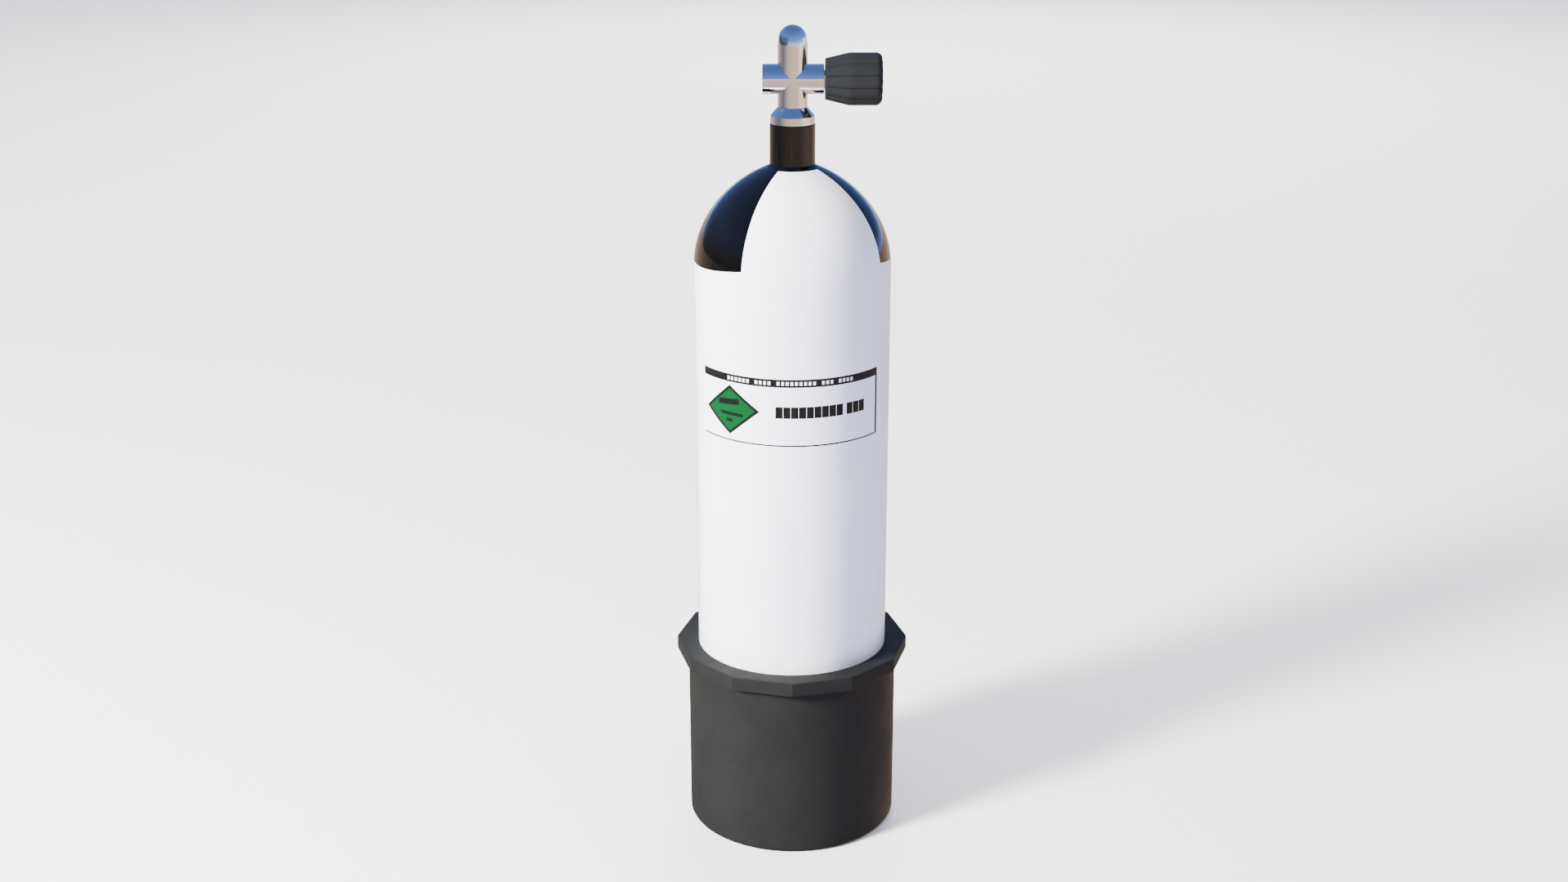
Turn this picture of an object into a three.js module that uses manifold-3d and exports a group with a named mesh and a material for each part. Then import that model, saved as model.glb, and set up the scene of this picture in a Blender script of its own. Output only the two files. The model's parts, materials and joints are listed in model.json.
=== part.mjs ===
// A 12-litre steel scuba cylinder in a rubber boot, with a chromed pillar valve.
// Millimetres, +Z up. The origin is the middle of the boot's foot, on the cylinder's axis.
// The handwheel points along +X and the threaded regulator outlet along +Y.
import * as THREE from "three";
import { mergeVertices } from "three/addons/utils/BufferGeometryUtils.js";
import Module from "manifold-3d";

const wasm = await Module();
wasm.setup();

// ---- Driving dimensions ----------------------------------------------------

const GAP = 0.3; // clearance between neighbouring pieces
const DEGREE = Math.PI / 180;

// Cylinder
const CYLINDER_R = 85.5;
const WALL = 4.3;
const BASE_Z = 7; // lowest point of the domed base
const BASE_DOME = 60; // height of the domed base
const BASE_THICK = 6.5;
const SHOULDER_Z = 520.9; // where the straight wall ends
const SHOULDER_RISE = 93.9; // height the shoulder would reach on the axis
const SHOULDER_POWERS = [2.14, 1.56]; // a little fuller than an ellipse, which has [2, 2]
const INNER_SHOULDER = { z: 517.3, rise: 88.5 }; // the half ellipse inside
const NECK_R = 19.5;
const NECK_TOP_Z = 645.6;
const NECK_BORE_R = 12.8;
const NECK_FILLET_R = 24; // radius where the shoulder starts to turn up into the neck
const NECK_FILLET_Z = 612;
const NECK_FILLET_SLOPE = 0.44; // the shoulder's rise for each mm inwards at that radius
const CYLINDER_SIDES = 48;

// Label: thin vinyl stuck on the paint
const VINYL = 0.25;
const LABEL_Z = [385, 444.5];
const LABEL_AZIMUTH = [-61, 58]; // its two ends, from the front towards +X

// Boot
const BOOT_R = 95;
const BOOT_WALL = 4;
const BOOT_EDGE = 5; // rounding of the foot
const BOOT_FLOOR = 6;
const FOOT_RING_R = 76; // the underside is recessed inside this radius
const FOOT_RECESS = 2;
const RIM_R = 105.4; // over the corners
const RIM_SIDES = 12;
const RIM_Z = [161, 173];
const BOOT_RIBS = 12;
const RIB_THICK = 4;
const RIB_INNER_R = 24;
const DRAIN_R = 7;
const DRAIN_PITCH_R = 58;
const DRAINS = 6;
const CENTRE_DRAIN_R = 16;

// Valve body
const PILLAR_R = 12.7;
const DOME_Z = 715.5; // centre of the pillar's round top
const COLLAR_R = 18.9;
const COLLAR_Z = [645.9, 652.8];
const COLLAR_CONE_Z = 659.5;
const STEM_R = 12.5;
const STEM_BOTTOM_Z = 618;
const SPINDLE_Z = 683; // height of the handwheel's axis
const STUB_R = 12.6;
const STUB_X = [-25.5, 26.5];
const OUTLET_Z = 704;
const OUTLET_R = 12.7;
const OUTLET_END_Y = 23;
const OUTLET_BORE_R = 10.6; // G 5/8 thread, minor radius
const OUTLET_SEAL_Y = 8.5;
const OUTLET_PORT_R = 3;

// Gas passages
const INLET_R = 3;
const INLET_TOP_Z = 667;
const CROSS_DRILL_R = 2.2;
const CROSS_DRILL_X = -9;
const SEAT_ORIFICE_R = 2.5;
const SEAT_RING_R = 4.5;
const CHAMBER_R = 8;
const CHAMBER_X = [-1.5, 17];
const OUTLET_DRILL_X = 6;

// Bonnet, left port plug and their seals
const PORT_R = 10; // bore of both stubs
const PORT_END_X = -13.5;
const THREADED_R = PORT_R - GAP;
const BONNET_X = [CHAMBER_X[1] + GAP, 25];
const BONNET_HEX_X = 27.3;
const BONNET_HEX_R = 7.5;
const BONNET_CAVITY_R = 5.9;
const BONNET_CAVITY_X = 21.2;
const STEM_BORE_R = 3.2;
const GLAND_GROOVE = { x: [22.3, 24.7], r: 5.2 };
const SEAL_GROOVE_R = 8;
const BONNET_GROOVE_X = [19, 21];
const PLUG_X = [-25, -14.5];
const PLUG_GROOVE_X = [-17.5, -15.5];
const PLUG_SOCKET_R = 4.6; // over the corners of the hexagon socket
const PLUG_SOCKET_DEPTH = 5;

// Spindle, seat carrier and seat
const TANG = { x: [11, 17.6], width: 9, thick: 3 };
const SPINDLE_FLANGE_R = 5.5;
const SPINDLE_FLANGE_X = 19.6;
const SPINDLE_R = 2.9;
const SQUARE_SIDE = 5.8;
const SQUARE_X = [36, 49.6];
const SPINDLE_THREAD_R = 2.5;
const SPINDLE_END_X = 63;
const THRUST_WASHER_X = [19.9, 20.9];
const CARRIER_R = CHAMBER_R - GAP;
const CARRIER_X = [1.2, 13];
const CARRIER_SLOT_X = 6.5;
const CARRIER_SLOT = 3.8;
const SEAT_DISC_R = 5;
const SEAT_DISC_X = [0.35, 3];

// Handwheel
const KNOB_X = [27.3, 75.6];
const KNOB_SMALL_R = 17.6;
const KNOB_R = 21.9;
const KNOB_WIDE_X = 47.5; // where the taper reaches the full radius
const KNOB_EDGE = 5.6; // rounding of the outer end
const KNOB_FLUTES = 12;
const FLUTE_DEPTH = 0.9;
const KNOB_BORE_R = 13.3;
const KNOB_BACK_BORE_R = 9;
const KNOB_FRONT_BORE_R = 8.2;
const CORE_X = [30.3, 69];
const CORE_R = KNOB_BORE_R - GAP;
const CORE_SQUARE = 6.4;
const CORE_POCKET_R = 7.8;
const CORE_POCKET_X = 50;
const SPRING = { x: [50.6, 56.6], r: 4.4, wire: 0.55, turns: 3.5 };
const WASHER_X = [57.6, 58.6];
const NUT_X = [58.9, 62.4];
const NUT_R = 5;

// Dip tube
const DIP_TUBE_R = 4;
const DIP_TUBE_BORE_R = 2.7;
const DIP_TUBE_Z = [560, 628];

// ---- Solids ----------------------------------------------------------------

// A closed three.js geometry as a manifold-3d solid.
function solid(geometry) {
  const bare = geometry.clone();
  bare.deleteAttribute("normal");
  bare.deleteAttribute("uv");
  const merged = mergeVertices(bare, 1e-4);
  return new wasm.Manifold(
    new wasm.Mesh({
      numProp: 3,
      vertProperties: merged.attributes.position.array,
      triVerts: new Uint32Array(merged.index.array),
    }),
  );
}

// A manifold-3d solid as a three.js geometry.
function geometryOf(made) {
  const { vertProperties, triVerts } = made.getMesh();
  const geometry = new THREE.BufferGeometry();
  geometry.setAttribute("position", new THREE.BufferAttribute(vertProperties, 3));
  geometry.setIndex(new THREE.BufferAttribute(triVerts, 1));
  geometry.computeVertexNormals();
  return geometry;
}

const TO_AXIS = {
  x: (geometry) => geometry.rotateZ(-Math.PI / 2),
  y: (geometry) => geometry,
  z: (geometry) => geometry.rotateX(Math.PI / 2),
};

// A shape made round +Y, turned so that its axis points along the named axis, then moved to "at".
function along(axis, geometry, at = [0, 0, 0]) {
  return solid(TO_AXIS[axis](geometry).translate(...at));
}

// A rod or cone between two places on an axis. "at" moves it off that axis.
function rod(axis, radius, [from, to], { sides = 32, at, endRadius = radius } = {}) {
  const geometry = new THREE.CylinderGeometry(endRadius, radius, to - from, sides);
  return along(axis, geometry.translate(0, (from + to) / 2, 0), at);
}

// A straight rod between any two points.
function rodBetween(radius, start, end, sides = 16) {
  const a = new THREE.Vector3(...start);
  const b = new THREE.Vector3(...end);
  const direction = b.clone().sub(a);
  const geometry = new THREE.CylinderGeometry(radius, radius, direction.length(), sides);
  const turn = new THREE.Quaternion().setFromUnitVectors(
    new THREE.Vector3(0, 1, 0),
    direction.clone().normalize(),
  );
  const middle = a.clone().add(b).multiplyScalar(0.5);
  return solid(geometry.applyQuaternion(turn).translate(middle.x, middle.y, middle.z));
}

// A box from its lowest to its highest corner.
function box(low, high) {
  const size = low.map((value, i) => high[i] - value);
  const middle = low.map((value, i) => (high[i] + value) / 2);
  return solid(new THREE.BoxGeometry(...size).translate(...middle));
}

// A turned piece. Its outline is [radius, height] points, listed upwards on the outside.
function turned(axis, outline, { sides = 32, at } = {}) {
  const points = outline.map(([radius, height]) => new THREE.Vector2(radius, height));
  return along(axis, new THREE.LatheGeometry(points, sides), at);
}

// A ring of rectangular section.
function ring(axis, innerR, outerR, [from, to], options) {
  const outline = [
    [innerR, from],
    [outerR, from],
    [outerR, to],
    [innerR, to],
    [innerR, from],
  ];
  return turned(axis, outline, options);
}

// An O-ring round an axis.
function oRing(axis, radius, section, height, at) {
  const geometry = new THREE.TorusGeometry(radius, section, 6, 24);
  return along(axis, geometry.rotateX(Math.PI / 2).translate(0, height, 0), at);
}

// Points on an elliptical arc in the [radius, height] plane, angles from the radius axis.
function ellipseArc(centreZ, radius, height, fromAngle, toAngle, steps) {
  return Array.from({ length: steps + 1 }, (_, i) => {
    const angle = fromAngle + ((toAngle - fromAngle) * i) / steps;
    return [radius * Math.cos(angle), centreZ + height * Math.sin(angle)];
  });
}

// A wedge of the whole height, between two azimuths measured from the front (-Y) towards +X.
function wedge([fromAzimuth, toAzimuth], [low, high], reach = 2 * CYLINDER_R) {
  const shape = new THREE.Shape();
  shape.moveTo(0, 0);
  const steps = 8;
  for (let i = 0; i <= steps; i++) {
    const azimuth = (fromAzimuth + ((toAzimuth - fromAzimuth) * i) / steps) * DEGREE;
    shape.lineTo(reach * Math.sin(azimuth), -reach * Math.cos(azimuth));
  }
  const geometry = new THREE.ExtrudeGeometry(shape, { depth: high - low, bevelEnabled: false });
  return solid(geometry.translate(0, 0, low));
}

const spindleAxis = [0, 0, SPINDLE_Z];

// ---- Cylinder --------------------------------------------------------------

// Points on the outside of the shoulder, from the straight wall in to a given radius.
function shoulderCurve(fullRadius, endRadius, steps) {
  const [rise, inward] = SHOULDER_POWERS;
  const end = (1 - (endRadius / fullRadius) ** inward) ** (1 / rise);
  return Array.from({ length: steps + 1 }, (_, i) => {
    const share = end * Math.sin(((Math.PI / 2) * i) / steps);
    const radius = fullRadius * (1 - share ** rise) ** (1 / inward);
    return [radius, SHOULDER_Z + SHOULDER_RISE * share];
  });
}

// The cylinder's outside, from the middle of the base up to the neck, grown by "grow".
function cylinderOutside(grow = 0) {
  const radius = CYLINDER_R + grow;
  const neckRadius = NECK_R + grow;
  const filletRadius = NECK_FILLET_R + grow;
  const base = ellipseArc(
    BASE_Z + BASE_DOME, radius, BASE_DOME + grow, -Math.PI / 2, 0, 6);
  const shoulder = shoulderCurve(radius, filletRadius, 10);
  const [startR, startZ] = shoulder.at(-1);
  const fillet = new THREE.QuadraticBezierCurve(
    new THREE.Vector2(startR, startZ),
    new THREE.Vector2(neckRadius, startZ + NECK_FILLET_SLOPE * (startR - neckRadius)),
    new THREE.Vector2(neckRadius, NECK_FILLET_Z + grow),
  );
  const filletPoints = fillet.getPoints(3).slice(1).map((p) => [p.x, p.y]);
  return [...base, ...shoulder, ...filletPoints];
}

function cylinderShell() {
  const chamfer = 0.8;
  const sealSeatR = 16.4;
  const sealSeatDepth = 3.2;
  const innerR = CYLINDER_R - WALL;
  const mouthR = 16; // where the bore opens into the shoulder
  const mouthFlare = 5;
  const innerShoulder = ellipseArc(
    INNER_SHOULDER.z, innerR, INNER_SHOULDER.rise, Math.acos(mouthR / innerR), 0, 6);
  const innerBase = ellipseArc(
    BASE_Z + BASE_DOME, innerR, BASE_DOME - BASE_THICK, 0, -Math.PI / 2, 5);
  const outline = [
    ...cylinderOutside(),
    [NECK_R, NECK_TOP_Z - chamfer],
    [NECK_R - chamfer, NECK_TOP_Z],
    [sealSeatR, NECK_TOP_Z],
    [sealSeatR, NECK_TOP_Z - sealSeatDepth],
    [NECK_BORE_R, NECK_TOP_Z - sealSeatDepth],
    [NECK_BORE_R, innerShoulder[0][1] + mouthFlare],
    ...innerShoulder,
    ...innerBase,
  ];
  outline[0][0] = 0;
  outline.at(-1)[0] = 0;
  return turned("z", outline, { sides: CYLINDER_SIDES });
}

function cylinderLabel() {
  const innerR = CYLINDER_R + GAP;
  const whole = ring("z", innerR, innerR + VINYL, LABEL_Z, { sides: CYLINDER_SIDES });
  return whole.intersect(wedge(LABEL_AZIMUTH, [LABEL_Z[0] - 1, LABEL_Z[1] + 1]));
}

// ---- Boot ------------------------------------------------------------------

// The cup: a floor with a recessed underside, a rounded foot and a straight wall.
function bootCup() {
  const innerR = BOOT_R - BOOT_WALL;
  const foot = ellipseArc(BOOT_EDGE, BOOT_EDGE, BOOT_EDGE, -Math.PI / 2, 0, 4).map(
    ([radius, height]) => [BOOT_R - BOOT_EDGE + radius, height],
  );
  return turned(
    "z",
    [
      [0, FOOT_RECESS],
      [FOOT_RING_R - FOOT_RECESS, FOOT_RECESS],
      [FOOT_RING_R, 0],
      ...foot,
      [BOOT_R, RIM_Z[1]],
      [innerR, RIM_Z[1]],
      [innerR, BOOT_FLOOR],
      [0, BOOT_FLOOR],
    ],
    { sides: CYLINDER_SIDES },
  );
}

function bootRib(azimuth) {
  const geometry = new THREE.BoxGeometry(
    BOOT_R - BOOT_WALL / 2 - RIB_INNER_R, RIB_THICK, RIM_Z[0] - BOOT_FLOOR + 1);
  geometry.translate(
    (BOOT_R - BOOT_WALL / 2 + RIB_INNER_R) / 2, 0, (RIM_Z[0] + BOOT_FLOOR) / 2);
  return solid(geometry.rotateZ(azimuth));
}

function boot() {
  let made = bootCup().add(rod("z", RIM_R, RIM_Z, { sides: RIM_SIDES }));
  for (let i = 0; i < BOOT_RIBS; i++) {
    made = made.add(bootRib((i / BOOT_RIBS) * 2 * Math.PI));
  }
  const cylinderSpace = [...cylinderOutside(GAP + 0.1), [0, NECK_FILLET_Z + 1]];
  cylinderSpace[0][0] = 0;
  made = made.subtract(turned("z", cylinderSpace, { sides: CYLINDER_SIDES }));
  made = made.subtract(rod("z", CENTRE_DRAIN_R, [-1, BOOT_FLOOR + 1]));
  for (let i = 0; i < DRAINS; i++) {
    const angle = ((i + 0.25) / DRAINS) * 2 * Math.PI;
    const at = [DRAIN_PITCH_R * Math.cos(angle), DRAIN_PITCH_R * Math.sin(angle), 0];
    made = made.subtract(rod("z", DRAIN_R, [-1, BOOT_FLOOR + 1], { sides: 16, at }));
  }
  return made;
}

// ---- Valve body and what is fixed in it --------------------------------------

function valveOutside() {
  const dome = ellipseArc(DOME_Z, PILLAR_R, PILLAR_R, 0, Math.PI / 2, 7);
  dome.at(-1)[0] = 0;
  const pillar = turned(
    "z",
    [
      [0, STEM_BOTTOM_Z],
      [STEM_R - 1, STEM_BOTTOM_Z],
      [STEM_R, STEM_BOTTOM_Z + 1],
      [STEM_R, COLLAR_Z[0]],
      [COLLAR_R, COLLAR_Z[0]],
      [COLLAR_R, COLLAR_Z[1]],
      [PILLAR_R, COLLAR_CONE_Z],
      ...dome,
    ],
    { sides: 40 },
  );
  const outletAt = [0, 0, OUTLET_Z];
  return pillar
    .add(rod("x", STUB_R, STUB_X, { sides: 40, at: spindleAxis }))
    .add(rod("y", OUTLET_R, [0, OUTLET_END_Y], { sides: 40, at: outletAt }));
}

function gasPassages() {
  const past = 1;
  const tubeSeat = [DIP_TUBE_Z[0], DIP_TUBE_Z[1] + GAP];
  const outletAt = [0, 0, OUTLET_Z];
  const seatRing = ring(
    "x", SEAT_ORIFICE_R, SEAT_RING_R, [CHAMBER_X[0] - past, 0], { at: spindleAxis });
  return rod("x", CHAMBER_R, [CHAMBER_X[0], STUB_X[1] + past], { at: spindleAxis })
    .subtract(seatRing)
    .add(rod("x", PORT_R, [CHAMBER_X[1], STUB_X[1] + past], { at: spindleAxis }))
    .add(rod("x", PORT_R, [STUB_X[0] - past, PORT_END_X], { at: spindleAxis }))
    .add(rod("x", SEAT_ORIFICE_R, [PORT_END_X - past, past], { sides: 16, at: spindleAxis }))
    .add(rod("z", DIP_TUBE_R + GAP, tubeSeat, { sides: 20 }))
    .add(rod("z", INLET_R, [STEM_BOTTOM_Z, INLET_TOP_Z], { sides: 16 }))
    .add(rodBetween(CROSS_DRILL_R, [0, 0, INLET_TOP_Z - 3], [CROSS_DRILL_X, 0, SPINDLE_Z]))
    .add(rodBetween(CROSS_DRILL_R, [OUTLET_DRILL_X, 0, SPINDLE_Z + 5], [0, 0, OUTLET_Z]))
    .add(rod("y", OUTLET_PORT_R, [-2, OUTLET_SEAL_Y + past], { sides: 20, at: outletAt }))
    .add(rod("y", OUTLET_BORE_R, [OUTLET_SEAL_Y, OUTLET_END_Y + past], { at: outletAt }));
}

function valveBody() {
  return valveOutside().subtract(gasPassages());
}

function neckORing() {
  return oRing("z", 14.45, 1.35, NECK_TOP_Z - 1.55);
}

function dipTube() {
  return ring("z", DIP_TUBE_BORE_R, DIP_TUBE_R, DIP_TUBE_Z, { sides: 20 });
}

function bonnetNut() {
  const [grooveStart, grooveEnd] = GLAND_GROOVE.x;
  const outline = [
    [BONNET_CAVITY_R, BONNET_X[0]],
    [THREADED_R, BONNET_X[0]],
    [THREADED_R, BONNET_GROOVE_X[0]],
    [SEAL_GROOVE_R, BONNET_GROOVE_X[0]],
    [SEAL_GROOVE_R, BONNET_GROOVE_X[1]],
    [THREADED_R, BONNET_GROOVE_X[1]],
    [THREADED_R, BONNET_X[1]],
    [STEM_BORE_R, BONNET_X[1]],
    [STEM_BORE_R, grooveEnd],
    [GLAND_GROOVE.r, grooveEnd],
    [GLAND_GROOVE.r, grooveStart],
    [STEM_BORE_R, grooveStart],
    [STEM_BORE_R, BONNET_CAVITY_X],
    [BONNET_CAVITY_R, BONNET_CAVITY_X],
    [BONNET_CAVITY_R, BONNET_X[0]],
  ];
  const hexRange = [BONNET_X[1] - 0.5, BONNET_HEX_X];
  const hexagon = rod("x", BONNET_HEX_R, hexRange, { sides: 6, at: spindleAxis }).subtract(
    rod("x", STEM_BORE_R, [BONNET_X[1] - 2, BONNET_HEX_X + 1], { at: spindleAxis }),
  );
  return turned("x", outline, { at: spindleAxis }).add(hexagon);
}

const middle = ([from, to]) => (from + to) / 2;

function stubORing(groove) {
  return oRing("x", 8.9, 0.65, middle(groove), spindleAxis);
}

function spindleORing() {
  return oRing("x", 4.2, 0.7, middle(GLAND_GROOVE.x), spindleAxis);
}

function thrustWasher() {
  return ring("x", STEM_BORE_R, SPINDLE_FLANGE_R, THRUST_WASHER_X, {
    sides: 24,
    at: spindleAxis,
  });
}

function portPlug() {
  const outline = [
    [0, PLUG_X[0]],
    [THREADED_R, PLUG_X[0]],
    [THREADED_R, PLUG_GROOVE_X[0]],
    [SEAL_GROOVE_R, PLUG_GROOVE_X[0]],
    [SEAL_GROOVE_R, PLUG_GROOVE_X[1]],
    [THREADED_R, PLUG_GROOVE_X[1]],
    [THREADED_R, PLUG_X[1]],
    [0, PLUG_X[1]],
  ];
  const socket = [PLUG_X[0] - 1, PLUG_X[0] + PLUG_SOCKET_DEPTH];
  return turned("x", outline, { at: spindleAxis }).subtract(
    rod("x", PLUG_SOCKET_R, socket, { sides: 6, at: spindleAxis }),
  );
}

// ---- Spindle and seat --------------------------------------------------------

// A square bar or a flat tang along the spindle's axis.
function bar([from, to], width, height) {
  return box(
    [from, -width / 2, SPINDLE_Z - height / 2],
    [to, width / 2, SPINDLE_Z + height / 2],
  );
}

function upperSpindle() {
  const at = spindleAxis;
  const joined = 0.5; // how far each length runs into the next one
  return bar([TANG.x[0], TANG.x[1] + joined], TANG.thick, TANG.width)
    .add(rod("x", SPINDLE_FLANGE_R, [TANG.x[1], SPINDLE_FLANGE_X], { sides: 24, at }))
    .add(rod("x", SPINDLE_R, [TANG.x[1] + joined, SQUARE_X[0] + joined], { sides: 20, at }))
    .add(bar(SQUARE_X, SQUARE_SIDE, SQUARE_SIDE))
    .add(rod("x", SPINDLE_THREAD_R, [SQUARE_X[1] - joined, SPINDLE_END_X], { sides: 20, at }));
}

function seatCarrier() {
  const at = spindleAxis;
  const seatPocket = [CARRIER_X[0] - 1, SEAT_DISC_X[1] + GAP];
  return rod("x", CARRIER_R, CARRIER_X, { at })
    .subtract(rod("x", SEAT_DISC_R + GAP, seatPocket, { sides: 24, at }))
    .subtract(bar([CARRIER_SLOT_X, CARRIER_X[1] + 1], CARRIER_SLOT, 3 * CARRIER_R));
}

function seatDisc() {
  return rod("x", SEAT_DISC_R, SEAT_DISC_X, { sides: 24, at: spindleAxis });
}

// ---- Handwheel ---------------------------------------------------------------

// The grip is turned, then its outside is fluted by drawing each vertex in towards the axis.
function handwheelGrip() {
  const end = ellipseArc(0, KNOB_EDGE, KNOB_EDGE, 0, Math.PI / 2, 4).map(([radius, height]) => [
    KNOB_R - KNOB_EDGE + radius,
    KNOB_X[1] - KNOB_EDGE + height,
  ]);
  const outline = [
    [KNOB_BACK_BORE_R, KNOB_X[0]],
    [KNOB_SMALL_R - 0.8, KNOB_X[0]],
    [KNOB_SMALL_R, KNOB_X[0] + 0.8],
    [KNOB_R, KNOB_WIDE_X],
    ...end,
    [KNOB_FRONT_BORE_R, KNOB_X[1]],
    [KNOB_FRONT_BORE_R, CORE_X[1] + GAP],
    [KNOB_BORE_R, CORE_X[1] + GAP],
    [KNOB_BORE_R, CORE_X[0] - GAP],
    [KNOB_BACK_BORE_R, CORE_X[0] - GAP],
    [KNOB_BACK_BORE_R, KNOB_X[0]],
  ].map(([radius, height]) => new THREE.Vector2(radius, height));
  const geometry = new THREE.LatheGeometry(outline, 5 * KNOB_FLUTES);
  const position = geometry.attributes.position;
  for (let i = 0; i < position.count; i++) {
    const x = position.getX(i);
    const z = position.getZ(i);
    const radius = Math.hypot(x, z);
    if (radius < KNOB_BORE_R + 1) continue;
    const wave = 0.5 - 0.5 * Math.cos(KNOB_FLUTES * Math.atan2(x, z));
    const scale = 1 - (FLUTE_DEPTH * wave) / radius;
    position.setX(i, x * scale);
    position.setZ(i, z * scale);
  }
  return along("x", geometry, spindleAxis);
}

function handwheelCore() {
  const at = spindleAxis;
  return rod("x", CORE_R, CORE_X, { at })
    .subtract(bar([CORE_X[0] - 1, CORE_POCKET_X + 1], CORE_SQUARE, CORE_SQUARE))
    .subtract(rod("x", CORE_POCKET_R, [CORE_POCKET_X, CORE_X[1] + 1], { sides: 24, at }));
}

class Helix extends THREE.Curve {
  getPoint(share) {
    const angle = share * SPRING.turns * 2 * Math.PI;
    return new THREE.Vector3(
      SPRING.x[0] + share * (SPRING.x[1] - SPRING.x[0]),
      SPRING.r * Math.cos(angle),
      SPINDLE_Z + SPRING.r * Math.sin(angle),
    );
  }
}

function handwheelSpring() {
  const section = new THREE.Shape();
  section.absarc(0, 0, SPRING.wire, 0, 2 * Math.PI);
  const geometry = new THREE.ExtrudeGeometry(section, {
    curveSegments: 5,
    steps: Math.round(12 * SPRING.turns),
    extrudePath: new Helix(),
  });
  return solid(geometry);
}

function handwheelWasher() {
  return ring("x", SPINDLE_THREAD_R + GAP, NUT_R + 1.4, WASHER_X, {
    sides: 24,
    at: spindleAxis,
  });
}

function handwheelNut() {
  const slotDepth = 1.2;
  const slotWidth = 1.6;
  const slot = bar([NUT_X[1] - slotDepth, NUT_X[1] + 1], slotWidth, 3 * NUT_R);
  return ring("x", SPINDLE_THREAD_R + GAP, NUT_R, NUT_X, {
    sides: 24,
    at: spindleAxis,
  }).subtract(slot);
}

// ---- Materials ---------------------------------------------------------------

function material(colour, roughness, metalness = 0) {
  return new THREE.MeshStandardMaterial({ color: colour, roughness, metalness });
}

const WHITE_PAINT = material(0xf2f2f0, 0.35);
const LABEL_VINYL = material(0xf7f7f7, 0.4);
const BOOT_RUBBER = material(0x434543, 0.7);
const CHROME = material(0xd9dade, 0.08, 1);
const BRASS = material(0xb9964a, 0.3, 1);
const STEEL = material(0xa9abad, 0.3, 1);
const SEAL_RUBBER = material(0x151515, 0.6);
const SEAT_POLYMER = material(0xece8dc, 0.45);
const GRIP_RUBBER = material(0x3f4244, 0.65);
const CORE_PLASTIC = material(0x1d1e20, 0.5);

// ---- Assembly ------------------------------------------------------------------

function part(name, made, look) {
  const mesh = new THREE.Mesh(geometryOf(made), look);
  mesh.name = name;
  return mesh;
}

const tank = new THREE.Group();
tank.add(
  part("cylinder_shell", cylinderShell(), WHITE_PAINT),
  part("cylinder_label", cylinderLabel(), LABEL_VINYL),
  part("boot", boot(), BOOT_RUBBER),
);

const valve = new THREE.Group();
valve.add(
  part("valve_body", valveBody(), CHROME),
  part("neck_o_ring", neckORing(), SEAL_RUBBER),
  part("dip_tube", dipTube(), BRASS),
  part("bonnet_nut", bonnetNut(), CHROME),
  part("bonnet_o_ring", stubORing(BONNET_GROOVE_X), SEAL_RUBBER),
  part("spindle_o_ring", spindleORing(), SEAL_RUBBER),
  part("thrust_washer", thrustWasher(), SEAT_POLYMER),
  part("port_plug", portPlug(), CHROME),
  part("port_plug_o_ring", stubORing(PLUG_GROOVE_X), SEAL_RUBBER),
  part("seat_carrier", seatCarrier(), BRASS),
  part("seat_disc", seatDisc(), SEAT_POLYMER),
);

const handwheel = new THREE.Group();
handwheel.add(
  part("upper_spindle", upperSpindle(), BRASS),
  part("handwheel_grip", handwheelGrip(), GRIP_RUBBER),
  part("handwheel_core", handwheelCore(), CORE_PLASTIC),
  part("handwheel_spring", handwheelSpring(), STEEL),
  part("handwheel_washer", handwheelWasher(), STEEL),
  part("handwheel_nut", handwheelNut(), STEEL),
);

tank.add(valve, handwheel);

export default tank;
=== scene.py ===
"""A white scuba tank in a dark rubber boot, with a chromed pillar valve and a fluted handwheel.

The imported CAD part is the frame. Fine meshes stand for its visible nodes, and every surface has a
procedural material. Shapes are written in millimetres and become metres when a mesh is made.
"""

import json
import math

import bpy
from mathutils import Matrix, Vector


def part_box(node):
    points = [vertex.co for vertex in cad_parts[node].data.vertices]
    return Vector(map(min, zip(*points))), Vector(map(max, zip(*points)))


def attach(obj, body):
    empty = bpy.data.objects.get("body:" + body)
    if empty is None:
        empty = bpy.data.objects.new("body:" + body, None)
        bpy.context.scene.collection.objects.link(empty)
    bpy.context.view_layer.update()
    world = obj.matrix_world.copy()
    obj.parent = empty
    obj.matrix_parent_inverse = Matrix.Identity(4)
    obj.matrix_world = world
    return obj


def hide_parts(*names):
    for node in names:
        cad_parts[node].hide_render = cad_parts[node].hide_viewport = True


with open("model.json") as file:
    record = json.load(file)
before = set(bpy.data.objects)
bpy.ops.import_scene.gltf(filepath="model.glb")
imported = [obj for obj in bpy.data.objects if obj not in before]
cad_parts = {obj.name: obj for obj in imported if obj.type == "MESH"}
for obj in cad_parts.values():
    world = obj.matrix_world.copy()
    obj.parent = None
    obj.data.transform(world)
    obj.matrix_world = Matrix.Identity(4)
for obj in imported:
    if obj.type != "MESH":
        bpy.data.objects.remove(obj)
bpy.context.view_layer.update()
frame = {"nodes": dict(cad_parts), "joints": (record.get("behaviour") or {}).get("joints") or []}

MM = 0.001
FULL_TURN = 2 * math.pi
FINE = 288  # segments round the cylinder and the boot
MEDIUM = 144  # round the valve
SMALL = 72  # round the small turned pieces
SHARP = math.radians(28)  # edges bent more than this are drawn sharp
GRIP_SHARP = math.radians(16)
VALVE_SHARP = math.radians(6.5)

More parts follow.
